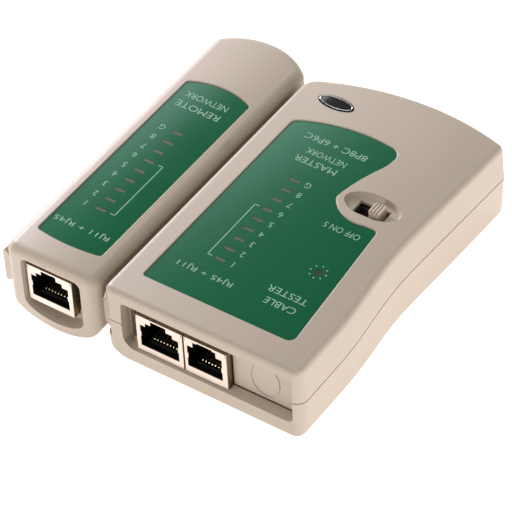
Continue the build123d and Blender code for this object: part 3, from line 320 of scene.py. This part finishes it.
for name, obj in nodes.items():
    obj.data.materials.clear()
    obj.data.materials.append(BY_NODE.get(name) or BY_SLOT[SLOT_OF[name]])
    obj.data.shade_smooth()
    obj.data.set_sharp_from_angle(angle=SMOOTH_BELOW)


# ------------------------------------------------------------------ printed pieces
def mesh_piece(name, bm, material, body):
    """Finish a bmesh as a named piece that rides on a body."""
    mesh = bpy.data.meshes.new(name)
    bm.to_mesh(mesh)
    bm.free()
    piece = bpy.data.objects.new(name, mesh)
    bpy.context.scene.collection.objects.link(piece)
    mesh.materials.append(material)
    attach(piece, body)
    return piece


def prism(bm, outline, low, high):
    """A closed prism on a plan outline given in millimetres, counter-clockwise."""
    lower = [bm.verts.new((x * MM, y * MM, low)) for x, y in outline]
    upper = [bm.verts.new((x * MM, y * MM, high)) for x, y in outline]
    bm.faces.new(list(reversed(lower)))
    bm.faces.new(upper)
    count = len(outline)
    for i in range(count):
        j = (i + 1) % count
        bm.faces.new((lower[i], lower[j], upper[j], upper[i]))


def stroke(bm, start, end, width, low, high):
    """A round-ended printed line."""
    a, b = Vector(start), Vector(end)
    along = (b - a).normalized()
    turn = math.atan2(along.y, along.x)
    outline = []
    for centre, first in ((b, -90), (a, 90)):
        for step in range(5):
            angle = turn + math.radians(first + 45 * step)
            outline.append(
                (centre.x + width / 2 * math.cos(angle), centre.y + width / 2 * math.sin(angle))
            )
    prism(bm, outline, low, high)


def lettering(name, text, centre, width, body, base, tall):
    """Flat raised lettering, turned to be read from the far end, sized in mm."""
    curve = bpy.data.curves.new(name, "FONT")
    curve.body = text
    curve.align_x = "CENTER"
    curve.align_y = "CENTER"
    curve.size = 1.0
    curve.offset = -0.004
    curve.extrude = 0.5
    curve.resolution_u = 3
    holder = bpy.data.objects.new(name + "_text", curve)
    bpy.context.scene.collection.objects.link(holder)
    bpy.context.view_layer.update()
    mesh = bpy.data.meshes.new_from_object(
        holder.evaluated_get(bpy.context.evaluated_depsgraph_get())
    )
    bpy.data.objects.remove(holder)
    xs = [v.co.x for v in mesh.vertices]
    ys = [v.co.y for v in mesh.vertices]
    scale_y = tall * MM / (max(ys) - min(ys))
    scale_x = width * MM / (max(xs) - min(xs)) if width else scale_y
    middle_x = (max(xs) + min(xs)) / 2
    middle_y = (max(ys) + min(ys)) / 2
    for v in mesh.vertices:
        v.co = Vector(
            (
                centre[0] * MM - (v.co.x - middle_x) * scale_x,
                centre[1] * MM - (v.co.y - middle_y) * scale_y,
                base + (v.co.z + 0.5) * PRINT,
            )
        )
    bm = bmesh.new()
    bm.from_mesh(mesh)
    bmesh.ops.remove_doubles(bm, verts=bm.verts, dist=1e-6)
    bmesh.ops.recalc_face_normals(bm, faces=bm.faces)
    bpy.data.meshes.remove(mesh)
    mesh_piece(name, bm, printed, body)


PITCH = 4.5  # between the lights of a row, in mm
GROUPED = 6  # lights that the printed bracket takes in
LINE = 0.28  # width of the bracket's line
MASTER_X, MASTER_Y = 6.6, -27.8  # first light of the master's row
REMOTE_X, REMOTE_Y = -31.4, -29.5  # first light of the remote's row
for number, mark in enumerate("12345678G"):
    y = MASTER_Y + PITCH * number
    lettering(f"master_mark_{mark}", mark, (MASTER_X + 4.2, y), 0, "master", LABEL_Z, 2.0)
    y = REMOTE_Y + PITCH * number
    lettering(f"remote_mark_{mark}", mark, (REMOTE_X - 5.0, y), 0, "remote", REMOTE_LABEL_Z, 2.0)


def bracket(name, line_x, tick_x, first_y, body, base):
    """Thin printed bracket that groups the first lights of a row."""
    bm = bmesh.new()
    last_y = first_y + PITCH * (GROUPED - 1)
    high = base + PRINT
    stroke(bm, (line_x, first_y), (line_x, last_y), LINE, base, high)
    for y in (first_y, last_y):
        stroke(bm, (line_x, y), (tick_x, y), LINE, base, high)
    mesh_piece(name, bm, printed, body)


bracket("master_bracket", MASTER_X - 4.0, MASTER_X - 2.6, MASTER_Y, "master", LABEL_Z)
bracket("remote_bracket", REMOTE_X + 4.7, REMOTE_X + 3.3, REMOTE_Y, "remote", REMOTE_LABEL_Z)

for word, text, centre, width, tall in (
    ("cable", "CABLE", (29.9, -34.0), 9.6, 2.3),
    ("tester", "TESTER", (29.5, -29.7), 12.3, 2.3),
    ("ports", "RJ45 + RJ11", (6.3, -34.2), 17.4, 2.3),
    ("off_on", "OFF ON S", (28.3, -1.9), 11.3, 2.1),
    ("master", "MASTER", (7.8, 16.4), 13.4, 2.3),
    ("kind", "NETWORK", (8.8, 20.3), 12.7, 2.2),
    ("sockets", "8P8C + 6P6C", (8.7, 25.4), 20.0, 2.3),
):
    lettering(f"word_{word}", text, centre, width, "master", LABEL_Z, tall)
for word, text, centre, width, tall in (
    ("ports", "RJ11 + RJ45", (-31.5, -37.8), 18.0, 2.3),
    ("remote", "REMOTE", (-32.0, 17.2), 14.4, 2.4),
    ("kind", "NETWORK", (-32.0, 21.6), 14.0, 2.3),
):
    lettering(f"remote_word_{word}", text, centre, width, "remote", REMOTE_LABEL_Z, tall)

# eight short rays printed round the power light
POWER_X, POWER_Y = 31.6, -18.3
rays = bmesh.new()
for step in range(8):
    angle = math.radians(45 * step)
    inner, outer = (
        (POWER_X + reach * math.cos(angle), POWER_Y + reach * math.sin(angle)) for reach in (2.3, 2.5)
    )
    stroke(rays, inner, outer, 0.4, LABEL_Z, LABEL_Z + PRINT)
mesh_piece("power_rays", rays, printed, "master")

# silver rim of the badge: four rings, from the outside over the top to the inside
rim = bmesh.new()
badge_low, badge_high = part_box("oval_badge")
cx = (badge_low[0] + badge_high[0]) / 2
cy = (badge_low[1] + badge_high[1]) / 2
top = badge_high[2]
RIM_SIDES = 72
loops = []
for long, short, z in (
    (5.35, 2.15, top - 0.01 * MM),
    (5.27, 2.07, top + 0.10 * MM),
    (5.08, 1.9, top + 0.10 * MM),
    (5.0, 1.82, top - 0.01 * MM),
):
    loop = []
    for i in range(RIM_SIDES):
        angle = 2 * math.pi * i / RIM_SIDES
        loop.append(
            rim.verts.new((cx + long * MM * math.cos(angle), cy + short * MM * math.sin(angle), z))
        )
    loops.append(loop)
for a, b in zip(loops, loops[1:] + loops[:1]):
    for i in range(RIM_SIDES):
        j = (i + 1) % RIM_SIDES
        rim.faces.new((a[i], a[j], b[j], b[i]))
bmesh.ops.recalc_face_normals(rim, faces=rim.faces)
rim_piece = mesh_piece("badge_rim", rim, silver, "master")
rim_piece.data.shade_smooth()

# ------------------------------------------------------------------ floor, light and camera
SIDE = 6.0  # half the floor's width in metres
floor_mesh = bpy.data.meshes.new("floor")
floor_mesh.from_pydata(
    [(-SIDE, -SIDE, 0), (SIDE, -SIDE, 0), (SIDE, SIDE, 0), (-SIDE, SIDE, 0)], [], [(0, 1, 2, 3)]
)
floor = bpy.data.objects.new("floor", floor_mesh)
bpy.context.scene.collection.objects.link(floor)
floor.location.z = -0.2 * MM  # just clear of the underside
paper = Nodes("floor_paper")
paper.link("Base Color", srgb(252, 251, 249))
paper.link("Roughness", 0.9)
paper.link("Emission Color", (1.0, 0.95, 0.96, 1.0))
paper.link("Emission Strength", 0.8)
# seen through from below, so that it doesn't hide the underside
through = paper.add("ShaderNodeBsdfTransparent").outputs["BSDF"]
beneath = paper.add("ShaderNodeNewGeometry").outputs["Backfacing"]
one_sided = paper.add(
    "ShaderNodeMixShader", {0: beneath, 1: paper.shader.outputs["BSDF"], 2: through}
)
surface = paper.tree.nodes["Material Output"].inputs["Surface"]
paper.tree.links.new(one_sided.outputs[0], surface)
paper.mat.cycles.emission_sampling = "NONE"  # it is a backdrop, too large to sample as a lamp
floor_mesh.materials.append(paper.mat)

world = bpy.data.worlds.new("studio")
bpy.context.scene.world = world
world.use_nodes = True
background = world.node_tree.nodes["Background"]
background.inputs["Color"].default_value = (1.0, 0.99, 0.98, 1)
background.inputs["Strength"].default_value = 0.33


def softbox(name, place, aim, size, power, colour=(1, 1, 1)):
    """A square area light at a place in metres, turned towards aim."""
    data = bpy.data.lights.new(name, "AREA")
    data.shape = "SQUARE"
    data.size = size
    data.energy = power
    data.color = colour
    light = bpy.data.objects.new(name, data)
    bpy.context.scene.collection.objects.link(light)
    light.location = place
    light.rotation_euler = (Vector(aim) - Vector(place)).to_track_quat("-Z", "Y").to_euler()


softbox("key", (-0.8, 0.35, 0.35), (0, 0, 0), 0.3, 7.5, (1.0, 0.94, 1.1))
softbox("gloss", (-0.4, 0.55, 0.37), (0, 0, 0), 0.3, 0.75)
softbox("overhead", (0.0, -0.05, 1.1), (0, 0, 0), 0.5, 2.4, (1.0, 0.98, 0.93))
softbox("right", (0.9, 0.0, 0.014), (0, 0, 0.014), 0.026, 3.6, (1.0, 0.93, 1.0))
softbox("front", (-0.35, -1.0, 0.32), (0, 0, 0.01), 0.15, 2.7, (1.0, 0.95, 0.96))

view = bpy.context.scene.view_settings
view.view_transform = "Standard"
view.look = "None"
view.exposure = 0.0

AZIMUTH, ELEVATION, ROLL = 36.5, 44.0, -3.4  # degrees
DISTANCE = 0.87
AIM = Vector((0.0063, -0.0113, 0.012))
camera_data = bpy.data.cameras.new("camera")
camera_data.sensor_width = 36
camera_data.lens = 225.6
camera_data.clip_start = 0.01
camera = bpy.data.objects.new("camera", camera_data)
bpy.context.scene.collection.objects.link(camera)
turn = (
    Matrix.Rotation(math.radians(AZIMUTH), 4, "Z")
    @ Matrix.Rotation(math.radians(90 - ELEVATION), 4, "X")
    @ Matrix.Rotation(math.radians(ROLL), 4, "Z")
)
camera.matrix_world = Matrix.Translation(AIM) @ turn @ Matrix.Translation((0, 0, DISTANCE))
bpy.context.scene.camera = camera

bpy.context.view_layer.update()
